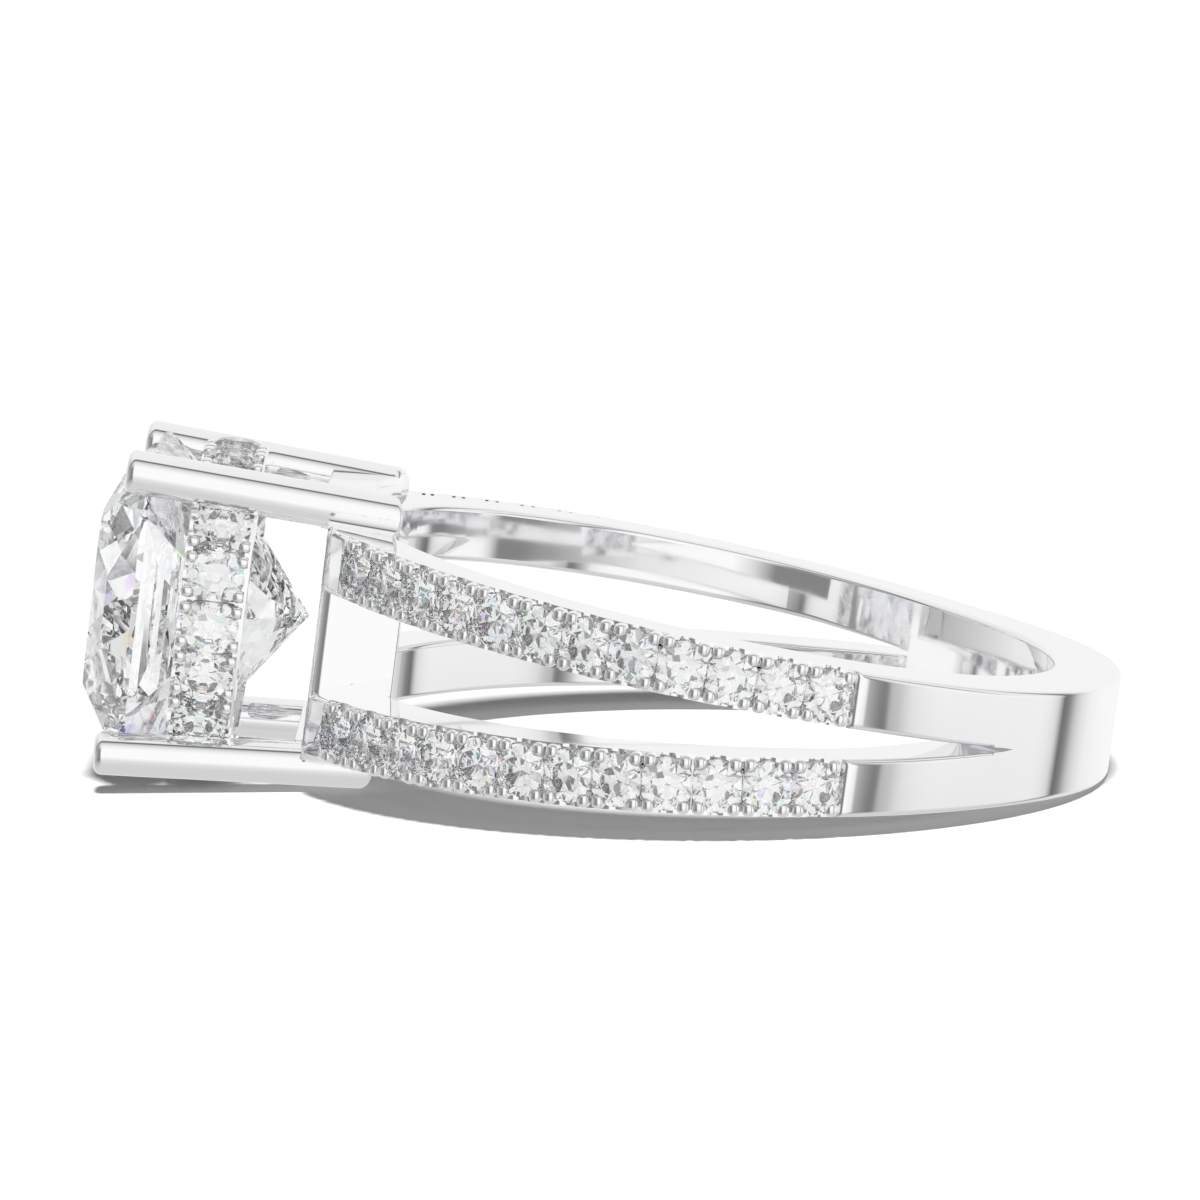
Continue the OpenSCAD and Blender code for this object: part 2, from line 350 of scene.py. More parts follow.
@dataclass(frozen=True)
class Finish:
    """A surface finish, which is made into a node material once.

    Attributes:
        name: The material's name.
    """

    name: str

    def material(self) -> bpy.types.Material:
        """Makes the material, or returns the one that is there."""
        if self.name in bpy.data.materials:
            return bpy.data.materials[self.name]
        material = bpy.data.materials.new(self.name)
        material.use_nodes = True
        self.dress(material.node_tree, material.node_tree.nodes["Principled BSDF"])
        return material

    def dress(self, tree: Tree, shader: bpy.types.Node) -> None:
        """Sets the shader up and adds the finish's other nodes.

        Args:
            tree: The material's tree.
            shader: Its main shader.
        """
        raise NotImplementedError


@dataclass(frozen=True)
class PolishedMetal(Finish):
    """Mirror-polished white gold with faint hand-polishing marks.

    Attributes:
        colour: The metal's reflection colour.
        smoothest: The roughness of the best polished spots.
        dullest: The roughness of the dullest spots.
        marks: The scale and the detail of the polishing marks.
        marks_range: Between these values, the marks go from smoothest to dullest.
        waves: The scale and the detail of the polisher's waves.
        wave_depth: The depth of the waves, in metres.
        wave_strength: How much the waves bend the reflections, from 0 to 1.
    """

    colour: tuple[float, float, float] = (0.965, 0.965, 0.97)
    smoothest: float = 0.03
    dullest: float = 0.075
    marks: tuple[float, float] = (900, 4)
    marks_range: tuple[float, float] = (0.3, 0.7)
    waves: tuple[float, float] = (350, 1)
    wave_depth: float = 0.000002
    wave_strength: float = 0.35

    def dress(self, tree: Tree, shader: bpy.types.Node) -> None:
        """Sets the shader up and adds the polishing marks and the waves.

        Args:
            tree: The material's tree.
            shader: Its main shader.
        """
        shader.inputs["Base Color"].default_value = (*self.colour, 1)
        shader.inputs["Metallic"].default_value = 1
        place = add_node(tree, "TexCoord")
        marks = add_node(tree, "TexNoise", {"Scale": self.marks[0], "Detail": self.marks[1]})
        polish = add_node(tree, "MapRange", {
            "From Min": self.marks_range[0], "From Max": self.marks_range[1],
            "To Min": self.smoothest, "To Max": self.dullest})
        waves = add_node(tree, "TexNoise", {"Scale": self.waves[0], "Detail": self.waves[1]})
        bump = add_node(tree, "Bump", {"Strength": self.wave_strength,
                                       "Distance": self.wave_depth})
        join = tree.links.new
        join(place.outputs["Object"], marks.inputs["Vector"])
        join(place.outputs["Object"], waves.inputs["Vector"])
        join(marks.outputs["Fac"], polish.inputs["Value"])
        join(polish.outputs["Result"], shader.inputs["Roughness"])
        join(waves.outputs["Fac"], bump.inputs["Height"])
        join(bump.outputs["Normal"], shader.inputs["Normal"])


@dataclass(frozen=True)
class CutDiamond(Finish):
    """Clear stone with polished facets and a few faint coloured patches of painted fire, glints
    painted into its base colour.

    Attributes:
        body: The stone's colour where no glint is painted.
        cell: How many patches of painted fire glints there are in a metre.
        painted_glint_share: The share of the patches that get a painted glint colour, from 0 to
            1.
        painted_glint_strength: How strong the painted glint colour is, from 0 to 1.
        painted_glint_saturation: How pure the painted glint colour is, from 0 to 1.
        ior: Diamond's refractive index.
    """

    body: tuple[float, float, float]
    cell: float
    painted_glint_share: float = 0.03
    painted_glint_strength: float = 0.5
    painted_glint_saturation: float = 0.8
    ior: float = 2.417

    def dress(self, tree: Tree, shader: bpy.types.Node) -> None:
        """Sets the shader up and adds the painted fire glints.

        Args:
            tree: The material's tree.
            shader: Its main shader.
        """
        shader.inputs["IOR"].default_value = self.ior
        shader.inputs["Roughness"].default_value = 0
        shader.inputs["Transmission Weight"].default_value = 1
        place = add_node(tree, "TexCoord")
        # Painted glints: a few Voronoi cells get a saturated hue mixed into the base colour,
        # standing in for the stone's coloured fire
        patches = add_node(tree, "TexVoronoi", {"Scale": self.cell})
        split = add_node(tree, "SeparateColor")
        chosen = add_node(tree, "Math", {1: self.painted_glint_share}, operation="LESS_THAN")
        strength = add_node(tree, "Math", {1: self.painted_glint_strength}, operation="MULTIPLY")
        hue = add_node(tree, "CombineColor", {"Green": self.painted_glint_saturation, "Blue": 1},
                       mode="HSV")
        painted_glint_colour = add_node(tree, "Mix", {"A": (*self.body, 1)}, data_type="RGBA")
        join = tree.links.new
        join(place.outputs["Object"], patches.inputs["Vector"])
        join(patches.outputs["Color"], split.inputs["Color"])
        join(split.outputs["Red"], chosen.inputs[0])
        join(split.outputs["Green"], hue.inputs["Red"])
        join(chosen.outputs["Value"], strength.inputs[0])
        join(strength.outputs["Value"], painted_glint_colour.inputs["Factor"])
        join(hue.outputs["Color"], painted_glint_colour.inputs["B"])
        join(painted_glint_colour.outputs["Result"], shader.inputs["Base Color"])


@dataclass(frozen=True)
class PaleFloor(Finish):
    """The floor's matt paint.

    Attributes:
        grey: Its lightness, from 0 to 1.
        roughness: Its roughness, from 0 to 1.
        shine: Its specular level, from 0 to 1.
    """

    grey: float = 0.97
    roughness: float = 0.9
    shine: float = 0.1

    def dress(self, tree: Tree, shader: bpy.types.Node) -> None:
        """Sets the shader up.

        Args:
            tree: The material's tree, not used here.
            shader: Its main shader.
        """
        shader.inputs["Base Color"].default_value = (self.grey, self.grey, self.grey, 1)
        shader.inputs["Roughness"].default_value = self.roughness
        shader.inputs["Specular IOR Level"].default_value = self.shine


WHITE_GOLD = PolishedMetal("white_gold")
CENTRE_DIAMOND = CutDiamond("centre_diamond", body=(0.97, 0.975, 0.985), cell=2600)
SMALL_DIAMOND = CutDiamond("small_diamond", body=(0.91, 0.915, 0.925), cell=8000)


def finish(piece: Piece, look: Finish, replaces: tuple[str, ...] = ()) -> Piece:
    """Lays a modelled piece into the frame, dresses it and ties it to the ring.

    Args:
        piece: The object, in millimetres in the ring's own axes.
        look: Its finish.
        replaces: The frame's nodes that it stands for.

    Returns:
        The object.
    """
    piece.data.transform(PLACE.matrix())
    piece.data.materials.clear()
    piece.data.materials.append(look.material())
    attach(piece, "root")
    if replaces:
        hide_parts(*replaces)
    LOG.info("%s: %d faces", piece.name, len(piece.data.polygons))
    return piece


@dataclass(frozen=True)
class RingForm:
    """The sizes that the ring's pieces share, in millimetres.

    Distances along the head, from the finger's centre, are called reach.
    """

    finger_r: float = 8.25
    wall: float = 1.73
    thinning: float = 0.1
    foot_width: float = 2.47
    split_width: float = 3.78
    edge_rise: float = 0.083
    edge_bend_r: float = 50
    gap_width: float = 1.1
    gap_rise: float = 0.0726
    root_angle: float = 47
    root_blunt: float = 0.3
    knee_x: float = 3
    arm_end_reach: float = 9.23
    window_half: float = 3.0
    bed_depth: float = 0.2

    @property
    def outer_r(self) -> float:
        """Radius of the band's outer wall about its own, shifted centre."""
        return self.finger_r + self.wall

    def outer_at(self, angle: float) -> float:
        """Distance from the finger's centre to the outer wall at an angle from the foot."""
        a = radians(angle)
        return sqrt(self.outer_r**2 - (self.thinning*sin(a))**2) - self.thinning*cos(a)

    def edge(self, x: float) -> float:
        """Height of the arms' outer edge over the middle plane, x millimetres to the foot."""
        slope = self.edge_rise
        root = sqrt(1 + slope*slope)
        bend_x = ((self.split_width - self.foot_width)/2 + self.edge_bend_r*(root - 1))/slope
        if x < bend_x - self.edge_bend_r*slope/root:
            return self.split_width/2 - slope*x
        return (self.foot_width/2 + self.edge_bend_r
                - sqrt(self.edge_bend_r**2 - (bend_x - x)**2))

    def gap(self, x: float, root_x: float) -> float:
        """Half the gap between the arms, which ends blunt at root_x."""
        if x >= root_x - TOUCH:
            return 0
        if x <= self.knee_x:
            return self.gap_width/2 - self.gap_rise*x
        knee = self.gap_width/2 - self.gap_rise*self.knee_x
        meeting_x = root_x + self.root_blunt
        return knee*(meeting_x - x)/(meeting_x - self.knee_x)

    def arm_middle(self, x: float) -> float:
        """Height of an arm's middle line, x millimetres to the foot."""
        return (self.edge(x) + self.gap_width/2 - self.gap_rise*x)/2

    def arm_half(self, x: float) -> float:
        """Half an arm's width, x millimetres to the foot."""
        return (self.edge(x) - self.gap_width/2 + self.gap_rise*x)/2


FORM = RingForm()


@dataclass(frozen=True)
class PaveRow:
    """The row of small stones along an arm.

    Past its end stones, the sunk bed runs half a pitch and a small turn, in degrees: foot_turn
    towards the foot and head_turn towards the head.
    """

    count: int = 12
    first_angle: float = 76.7
    pitch_angle: float = 6.44
    stone_d: float = 1.2
    lift: float = 0.08
    foot_turn: float = 0.1
    head_turn: float = 0.3

    def stone_angle(self, number: float) -> float:
        """Angle of a stone from the foot. Halves lie between two stones."""
        return self.first_angle + number*self.pitch_angle

    @property
    def start(self) -> float:
        """Angle where the sunk bed starts."""
        return self.stone_angle(-0.5) - self.foot_turn

    @property
    def end(self) -> float:
        """Angle where the sunk bed ends."""
        return self.stone_angle(self.count - 0.5) + self.head_turn

    @property
    def pitch(self) -> float:
        """Distance between neighbouring stones at their girdles."""
        return (FORM.outer_r - FORM.bed_depth + self.lift)*radians(self.pitch_angle)

    def place(self, angle: float, depth: float, across: float,
              side: Side, level: Level) -> Matrix:
        """Where something sits on an arm: X along the arm, Y across it, Z outwards.

        Args:
            angle: The angle from the foot.
            depth: How far it lies under the plain band's outer wall.
            across: Its distance from the arm's middle line, towards the outer edge.
            side: The ring's side.
            level: The arm.

        Returns:
            The place as a matrix, in millimetres.
        """
        turn = radians(angle)
        out = Vector((cos(turn), side.value*sin(turn), 0))
        radius = FORM.outer_at(angle) - depth
        x = radius*cos(turn)
        middle = FORM.arm_middle(x)
        rise = (FORM.edge_rise + FORM.gap_rise)/2*sin(turn)
        along = Vector((-sin(turn), side.value*cos(turn), level.value*rise)).normalized()
        over = out.cross(along)*side.value
        if over.z*level.value < 0:
            over = -over
        point = out*radius + Vector((0, 0, level.value*middle)) + over*across
        return Matrix(((along.x, over.x, out.x, point.x), (along.y, over.y, out.y, point.y),
                       (along.z, over.z, out.z, point.z), (0, 0, 0, 1)))


ROW = PaveRow()


@dataclass
class SplitBand:
    """The foot of the band and its four arms, in one piece.

    The gap's edges stay sharp over sharp_span degrees from the root of the split. Over
    gap_round_span degrees more, their rounding grows to gap_round.
    """

    edge_round: float = 0.14
    gap_round: float = 0.16
    gap_round_span: float = 13
    sharp_span: float = 3.5
    end_round: float = 0.32
    lip_round: float = 0.17
    rim: float = 0.1
    trough: float = 0.5
    trough_slope: float = 0.36
    scallop_r: float = 0.27
    scallop_length: float = 1.7
    # Turn over which the bed steps down at its two ends, in degrees
    bed_step: float = 0.15
    # Angle of the last cross-section before the head's window
    plain_end: float = 154.5
    # The bed's edges stay crisp from this far outside the finger hole
    bed_clear: float = 0.3
    # and so many degrees past the bed's foot end and its head end
    crisp_past: tuple[float, float] = (0.1, 0.3)
    # How near the bed's start, in degrees, the plain band's lip is looked for
    lip_turn: float = 0.05
    # The rough band that is spun before each cross-section gets its place
    rough_r: float = 9
    rough_sweep: float = 158
    # How many steps each stretch of the band has, from the foot to the head
    steps: tuple[int, int, int, int] = (22, 14, 72, 3)
    columns: list[tuple[float, bool]] = field(default_factory=list)

    def __post_init__(self) -> None:
        """Lists the angles of the band's cross-sections, and whether each is in the bed."""
        spans = [(0, FORM.root_angle, False),
                 (FORM.root_angle, ROW.start, False),
                 (ROW.start + self.bed_step, ROW.end, True),
                 (ROW.end + self.bed_step, self.plain_end, False)]
        for (start, stop, bed), count in zip(spans, self.steps):
            first = 1 if start == FORM.root_angle else 0
            self.columns += [(start + (stop - start)*i/count, bed)
                             for i in range(first, count + 1)]

    @property
    def arm_end_y(self) -> float:
        """Distance of an arm's outer end from the head's axis."""
        return sqrt(FORM.outer_r**2 - (FORM.arm_end_reach - FORM.thinning)**2)

    def section_points(self, index: int) -> tuple[Vector, Vector]:
        """The inner and the outer point of one cross-section, in the XY plane.

        Args:
            index: The cross-section's number. The last two lie along the head's window.

        Returns:
            The two points.
        """
        window = FORM.window_half
        corner = Vector((-FORM.arm_end_reach, self.arm_end_y, 0))
        if index == len(self.columns):
            return Vector((-sqrt(FORM.finger_r**2 - window**2), window, 0)), corner
        if index > len(self.columns):
            return Vector((-FORM.arm_end_reach, window, 0)), corner
        angle, bed = self.columns[index]
        out = Vector((cos(radians(angle)), sin(radians(angle)), 0))
        outer = FORM.outer_at(angle) - (FORM.bed_depth if bed else 0)
        return out*FORM.finger_r, out*outer

    def shape_quarter(self) -> Piece:
        """Spins one cross-section round the finger and gives each its place and width."""
        leave_edit_mode()
        half = 0.5
        bpy.ops.mesh.primitive_plane_add(size=2*half, location=(self.rough_r, 0, half),
                                         rotation=(pi/2, 0, 0))
        piece = new_piece("band")
        turns = len(self.columns) + 1
        step = radians(self.rough_sweep)/turns
        with editing(piece):
            bpy.ops.mesh.select_all(action="SELECT")
            bpy.ops.mesh.spin(steps=turns, angle=step*turns, center=(0, 0, 0), axis=(0, 0, 1))
        for vertex in piece.data.vertices:
            index = round(abs(atan2(vertex.co.y, vertex.co.x))/step)
            inner, outer = self.section_points(index)
            point = outer if hypot(vertex.co.x, vertex.co.y) > self.rough_r else inner
            root_r = FORM.outer_at(FORM.root_angle) if point is outer else FORM.finger_r
            root_x = root_r*cos(radians(FORM.root_angle))
            height = FORM.edge(point.x) if vertex.co.z > half else FORM.gap(point.x, root_x)
            vertex.co = (point.x, point.y, height)
        return piece

    @staticmethod
    def in_bed(middle: Vector, normal: Vector) -> bool:
        """Whether a face is part of the bed."""
        radius = hypot(middle.x + FORM.thinning, middle.y)
        return abs(radius - FORM.outer_r + FORM.bed_depth) < NEAR_BY and abs(normal.z) < 0.3

    @staticmethod
    def on_gap(middle: Vector) -> bool:
        """Whether an edge lies along the gap, and not along the band's outer edges."""
        return abs(middle.z) < FORM.edge(middle.x) - NEAR_BY

    def in_pave(self, middle: Vector) -> bool:
        """Whether an edge belongs to the bed, whose edges stay crisp."""
        foot_past, head_past = self.crisp_past
        return (ROW.start - foot_past < angle_of(middle) < ROW.end + head_past
                and hypot(middle.x, middle.y) > FORM.finger_r + self.bed_clear)

    def on_lip(self, middle: Vector) -> bool:
        """Whether an edge is the plain band's lip, where the bed starts."""
        angle = angle_of(middle)
        return (abs(angle - ROW.start) < self.lip_turn
                and hypot(middle.x, middle.y) > FORM.outer_at(angle) - NEAR_BY)

    def on_arm_end(self, middle: Vector) -> bool:
        """Whether an edge is the outer edge of an arm's end."""
        return (abs(middle.x + FORM.arm_end_reach) < NEAR_BY/2
                and abs(abs(middle.y) - self.arm_end_y) < NEAR_BY/2)

    def file_scallops(self, piece: Piece) -> None:
        """Files a round notch through each arm's rims beside each stone.

        Args:
            piece: The whole band.
        """
        places = [ROW.place(ROW.stone_angle(i), 0, 0, side, level)
                  for side, level in ARMS for i in range(ROW.count)]
        carve(piece, joined("scallops", scallop(self.scallop_r, self.scallop_length), places))

    def round_gap(self, piece: Piece) -> None:
        """Rounds the edges along the gap, more and more from the root to the arms.

        Args:
            piece: The whole band.
        """
        with editing(piece, "EDGE"):
            pick_sharp_edges(piece, lambda m: self.on_gap(m) and not self.in_pave(m))
            shape = bmesh.from_edit_mesh(piece.data)
            weight = shape.edges.layers.float.new("bevel_weight_edge")
            for edge in shape.edges:
                if edge.select:
                    past = angle_of(middle_of(edge)) - FORM.root_angle
                    share = (past - self.sharp_span)/self.gap_round_span
                    edge[weight] = min(1, max(0, share))
            bmesh.update_edit_mesh(piece.data)
        modify(piece, "BEVEL", limit_method="WEIGHT", width=self.gap_round, segments=3,
               use_clamp_overlap=False)

    def build(self) -> Piece:
        """Models the band: a quarter with its bed, mirrored twice, notched and rounded.

        Returns:
            The finished piece.
        """
        piece = self.shape_quarter()
        close_up(piece)
        with editing(piece):
            pick_faces(piece, self.in_bed)
            bpy.ops.mesh.inset(thickness=self.rim, depth=0)
            bpy.ops.mesh.inset(thickness=self.trough_slope, depth=-self.trough)
        with editing(piece):
            pick_faces(piece, lambda middle, normal: abs(middle.z) < TOUCH or middle.y < TOUCH)
            bpy.ops.mesh.delete(type="FACE")
        modify(piece, "MIRROR", use_axis=(False, True, True), merge_threshold=TOUCH)
        close_up(piece)
        self.file_scallops(piece)
        round_edges(piece, self.end_round, 6, self.on_arm_end, bend=15)
        round_edges(piece, self.lip_round, 4, self.on_lip)
        self.round_gap(piece)
        round_edges(piece, self.edge_round, 3,
                    lambda m: not self.on_gap(m) and not self.in_pave(m))
        smooth(piece)
        return finish(piece, WHITE_GOLD, ("mounting",))


@dataclass
class PaveMetal:
    """The beads that stand in pairs along both edges of each arm."""

    along: float = 0.29
    across: float = 0.33
    height: float = 0.5
    rounding: float = 0.11
    proud: float = 0.01
    inset: float = 0.012
    pair_half: float = 0.168

    def bead(self) -> Piece:
        """Models one bead, a small square post with a rounded top at z = 0."""
        leave_edit_mode()
        bpy.ops.mesh.primitive_cube_add(size=1, location=(0, 0, -self.height/2),
                                        scale=(self.along, self.across, self.height))
        post = new_piece("bead")
        with editing(post):
            pick_faces(post, lambda middle, normal: normal.z < -0.5)
            bpy.ops.mesh.delete(type="FACE")
        round_edges(post, self.rounding, 2)
        return post

    def places(self) -> list[Matrix]:
        """Lists where each bead of all four arms stands."""
        pair_turn = degrees(self.pair_half/FORM.outer_r)
        found = []
        for (side, level), i, step in product(ARMS, range(ROW.count + 1), (-1, 1)):
            if (i == 0 and step < 0) or (i == ROW.count and step > 0):
                continue
            turn = ROW.stone_angle(i - 0.5) + step*pair_turn
            x = FORM.outer_at(turn)*cos(radians(turn))
            across = FORM.arm_half(x) - self.across/2 - self.inset
            found += [ROW.place(turn, -self.proud, edge*across, side, level)
                      for edge in (-1, 1)]
        return found

    def build(self) -> Piece:
        """Models all the arms' beads.

        Returns:
            The finished piece.
        """
        piece = joined("arm_beads", self.bead(), self.places())
        smooth(piece, 50)
        return finish(piece, WHITE_GOLD)


@dataclass
class Basket:
    """The head's four prongs, two gallery rails and two side bridges."""

    prong_d: float = 1.02
    prong_tip_reach: float = 14.02
    prong_tip_round: float = 0.2
    prong_foot_round: float = 0.15
    prong_foot_y: float = 3.0
    prong_tip_y: float = 3.33
    prong_foot_reach: float = 7.47
    # Rings of faces in a prong's foot, which let it follow the finger hole
    foot_rings: int = 3
    rail_reach: float = 9.45
    rail_top: float = 3.27
    rail_wall: float = 0.77
    bridge_y: float = 3.84
    # How far a side bridge runs into the arm above and the arm below
    bridge_overlap: float = 0.1
    # How far a bar's rough block reaches into the finger hole
    rough_excess: float = 1
    # Cuts across a bar's inner end, which let it follow the finger hole
    bar_cuts: int = 11
    small_round: float = 0.07
    outer_round: float = 0.28

    def prong_y(self, reach: float) -> float:
        """Distance of a prong's middle line from the head's axis."""
        share = (reach - FORM.finger_r)/(self.prong_tip_reach - FORM.finger_r)
        return self.prong_foot_y + (self.prong_tip_y - self.prong_foot_y)*share

    @staticmethod
    def follow_finger(piece: Piece, beyond: float) -> None:
        """Lays a piece's inner end on the finger hole's wall.

        Args:
            piece: The piece.
            beyond: Points with a larger X are the end.
        """
        for vertex in piece.data.vertices:
            if vertex.co.x > beyond:
                vertex.co.x = -sqrt(FORM.finger_r**2 - vertex.co.y**2)

    def prong(self, side: Side, level: Level) -> Piece:
        """Models one prong, with a rounded tip and foot.

        Args:
            side: The ring's side.
            level: Above or below the head's axis.

        Returns:
            The finished piece.
        """
        foot_y = self.prong_y(self.prong_foot_reach)
        foot = Vector((-self.prong_foot_reach, side.value*foot_y, level.value*foot_y))
        tip = Vector((-self.prong_tip_reach, side.value*self.prong_tip_y,
                      level.value*self.prong_tip_y))
        leave_edit_mode()
        bpy.ops.mesh.primitive_cylinder_add(vertices=48, radius=self.prong_d/2,
                                            depth=(tip - foot).length)
        piece = new_piece(f"prong_{side.name.lower()}_{level.name.lower()}")
        round_edges(piece, self.prong_tip_round, 5, lambda middle: middle.z > 0)
        with editing(piece):
            pick_faces(piece, lambda middle, normal: normal.z < -0.9)
            for _ in range(self.foot_rings):
                bpy.ops.mesh.inset(thickness=self.prong_d/2/(self.foot_rings + 1), depth=0)
        turn = (tip - foot).to_track_quat("Z", "Y").to_matrix().to_4x4()
        piece.data.transform(Matrix.Translation((foot + tip)/2) @ turn)
        self.follow_finger(piece, -FORM.finger_r)
        round_edges(piece, self.prong_foot_round, 4,
                    lambda middle: hypot(middle.x, middle.y) < FORM.finger_r + NEAR_BY/2)
        smooth(piece, 40)
        return finish(piece, WHITE_GOLD)

    def on_bridge_corner(self, middle: Vector) -> bool:
        """Whether an edge is a side bridge's upright outer corner, away from the window."""
        return (abs(abs(middle.y) - self.bridge_y) < TOUCH
                and abs(middle.x + FORM.arm_end_reach) < TOUCH and abs(middle.z) < NEAR_BY)

    def bar(self, name: str, reach: float, across: list[float], up: list[float]) -> Piece:
        """Models a bar whose inner end is hollowed to the finger hole.

        Args:
            name: The piece's name.
            reach: Where its outer end lies.
            across: Its lowest and highest Y.
            up: Its lowest and highest Z.

        Returns:
            The finished piece.
        """
        low = Vector((-reach, across[0], up[0]))
        high = Vector((-FORM.finger_r + self.rough_excess, across[1], up[1]))
        leave_edit_mode()
        bpy.ops.mesh.primitive_cube_add(size=1, location=(low + high)/2, scale=high - low)
        piece = new_piece(name)
        with editing(piece, "EDGE"):
            shape = bmesh.from_edit_mesh(piece.data)
            for edge in shape.edges:
                edge.select_set(middle_of(edge).x > high.x - TOUCH
                                and abs(edge.verts[0].co.y - edge.verts[1].co.y) > TOUCH)
            bmesh.update_edit_mesh(piece.data)
            bpy.ops.mesh.subdivide(number_cuts=self.bar_cuts)
        self.follow_finger(piece, (low.x + high.x)/2)
        round_edges(piece, self.outer_round, 6, self.on_bridge_corner)
        round_edges(piece, self.small_round, 3,
                    lambda middle: not self.on_bridge_corner(middle))
        smooth(piece)
        return finish(piece, WHITE_GOLD)

    def build(self) -> list[Piece]:
        """Models the whole basket.

        Returns:
            The finished pieces.
        """
        pieces = [self.prong(side, level) for side, level in ARMS]
        for level in Level:
            up = sorted(level.value*z for z in (self.rail_top - self.rail_wall, self.rail_top))
            pieces.append(self.bar(f"gallery_rail_{level.name.lower()}", self.rail_reach,
                                   [-self.prong_foot_y, self.prong_foot_y], up))
        half = FORM.gap_width/2 + FORM.gap_rise*FORM.arm_end_reach + self.bridge_overlap
        for side in Side:
            across = sorted(side.value*y for y in (FORM.window_half, self.bridge_y))
            pieces.append(self.bar(f"side_bridge_{side.name.lower()}", FORM.arm_end_reach,
                                   across, [-half, half]))
        return pieces


@dataclass
class HiddenHalo:
    """The cushion-shaped band of stones under the centre stone."""

    low_reach: float = 10.91
    width: float = 1.54
    half: float = 3.87
    side_r: float = 5.2
    wall: float = 0.74
    lip: float = 0.18
    lip_width: float = 0.06
    lip_slope: float = 0.01
    rim: float = 0.1
    trough: float = 0.4
    trough_slope: float = 0.38
    count: int = 5
    pitch_angle: float = 13.2
    stone_d: float = 1.34
    lift: float = 0.07
    scallop_r: float = 0.3
    # The notch cutter's length, as a share of the band's width
    scallop_share: float = 0.6
    bead_pair_half: float = 0.19
    bead_across: float = 0.6
    bead_proud: float = 0.02
    columns: int = 40

    @property
    def corner_angle(self) -> float:
        """Angle at a side's own centre from its middle to the corner, in degrees."""
        offset = self.side_r - self.half
        corner = (sqrt(2*self.side_r**2 - offset**2) - offset)/2
        return degrees(asin(corner/self.side_r))

    @property
    def middle_reach(self) -> float:
        """Distance from the finger's centre to the halo's middle line."""
        return self.low_reach + self.width/2

    def place(self, angle: float, depth: float, across: float, quarter: int) -> Matrix:
        """Where something sits on the halo: X round the band, Y to the table, Z outwards.

        Args:
            angle: The angle from the middle of the side, about that side's own centre.
            depth: How far it lies under the band's outer face.
            across: Its distance from the halo's middle line, towards the stone's table.
            quarter: The side's number, from 0 to 3.

        Returns:
            The place as a matrix, in millimetres.
        """
        turn = radians(angle)
        radius = self.side_r - depth
        local = Matrix(((0, -1, 0, -self.middle_reach - across),
                        (-sin(turn), 0, cos(turn), radius*cos(turn) - self.side_r + self.half),
                        (cos(turn), 0, sin(turn), radius*sin(turn)),
                        (0, 0, 0, 1)))
        return Matrix.Rotation(radians(90*quarter), 4, "X") @ local

    def seats(self, across: float) -> list[Matrix]:
        """Lists a place at each stone's girdle.

        Args:
            across: Its distance from the halo's middle line, towards the stone's table.

        Returns:
            The places, side by side.
        """
        return [self.place((i - (self.count - 1)/2)*self.pitch_angle, self.lip - self.lift,
                           across, quarter)
                for quarter in range(4) for i in range(self.count)]

    @staticmethod
    def on_outside(middle: Vector, normal: Vector) -> bool:
        """Whether a face is on the band's outside."""
        return abs(normal.x) < 0.5 and normal.y*middle.y + normal.z*middle.z > 0

    def band(self) -> Piece:
        """Models the halo's metal band, with its sunk bed."""
        leave_edit_mode()
        total = 4*self.columns
        bpy.ops.mesh.primitive_cylinder_add(vertices=total, radius=1, depth=self.width,
                                            end_fill_type="NOTHING", rotation=(0, pi/2, 0),
                                            location=(-self.middle_reach, 0, 0))
        piece = new_piece("halo_band")
        for vertex in piece.data.vertices:
            index = round(atan2(vertex.co.z, vertex.co.y)/(2*pi)*total) % total
            quarter = ((index + self.columns//2) // self.columns) % 4
            share = ((index + self.columns//2) % self.columns)/self.columns*2 - 1
            spot = self.place(share*self.corner_angle, 0, 0, quarter).translation
            vertex.co = (vertex.co.x, spot.y, spot.z)
        close_up(piece)
        modify(piece, "SOLIDIFY", thickness=self.wall, offset=-1)
        close_up(piece)
        with editing(piece):
            pick_faces(piece, self.on_outside)
            bpy.ops.mesh.inset(thickness=self.lip_width, depth=0)
            bpy.ops.mesh.inset(thickness=self.lip_slope, depth=-self.lip)
            bpy.ops.mesh.inset(thickness=self.rim, depth=0)
            bpy.ops.mesh.inset(thickness=self.trough_slope, depth=-self.trough)
        self.lower_table_lip(piece)
        close_up(piece)
        cutter = scallop(self.scallop_r, self.width*self.scallop_share)
        carve(piece, joined("halo_scallops", cutter, self.seats(self.width/2)))
        smooth(piece)
        return finish(piece, WHITE_GOLD)

    def lower_table_lip(self, piece: Piece) -> None:
        """Brings the lip on the stone's side down to the bed, which leaves the beads there.

        Args:
            piece: The halo's band.
        """
        for vertex in piece.data.vertices:
            if -vertex.co.x < self.low_reach + self.width - self.lip_width - NEAR_BY:
                continue
            quarter = round(atan2(vertex.co.z, vertex.co.y)/(pi/2))
            turn = Matrix.Rotation(pi/2*quarter, 4, "X")
            local = turn.inverted() @ vertex.co
            centre = self.half - self.side_r
            radius = hypot(local.y - centre, local.z)
            if radius > self.side_r - self.lip:
                share = (self.side_r - self.lip)/radius
                vertex.co = turn @ Vector((local.x, centre + (local.y - centre)*share,
                                           local.z*share))

    def beads(self) -> Piece:
        """Models the beads along both edges of the halo."""
        pair_turn = degrees(self.bead_pair_half/self.side_r)
        places = [self.place((i - self.count/2)*self.pitch_angle + step*pair_turn,
                             -self.bead_proud, edge*self.bead_across, quarter)
                  for quarter, i, step, edge
                  in product(range(4), range(1, self.count), (-1, 1), (-1, 1))]
        piece = joined("halo_beads", PaveMetal().bead(), places)
        smooth(piece, 50)
        return finish(piece, WHITE_GOLD)

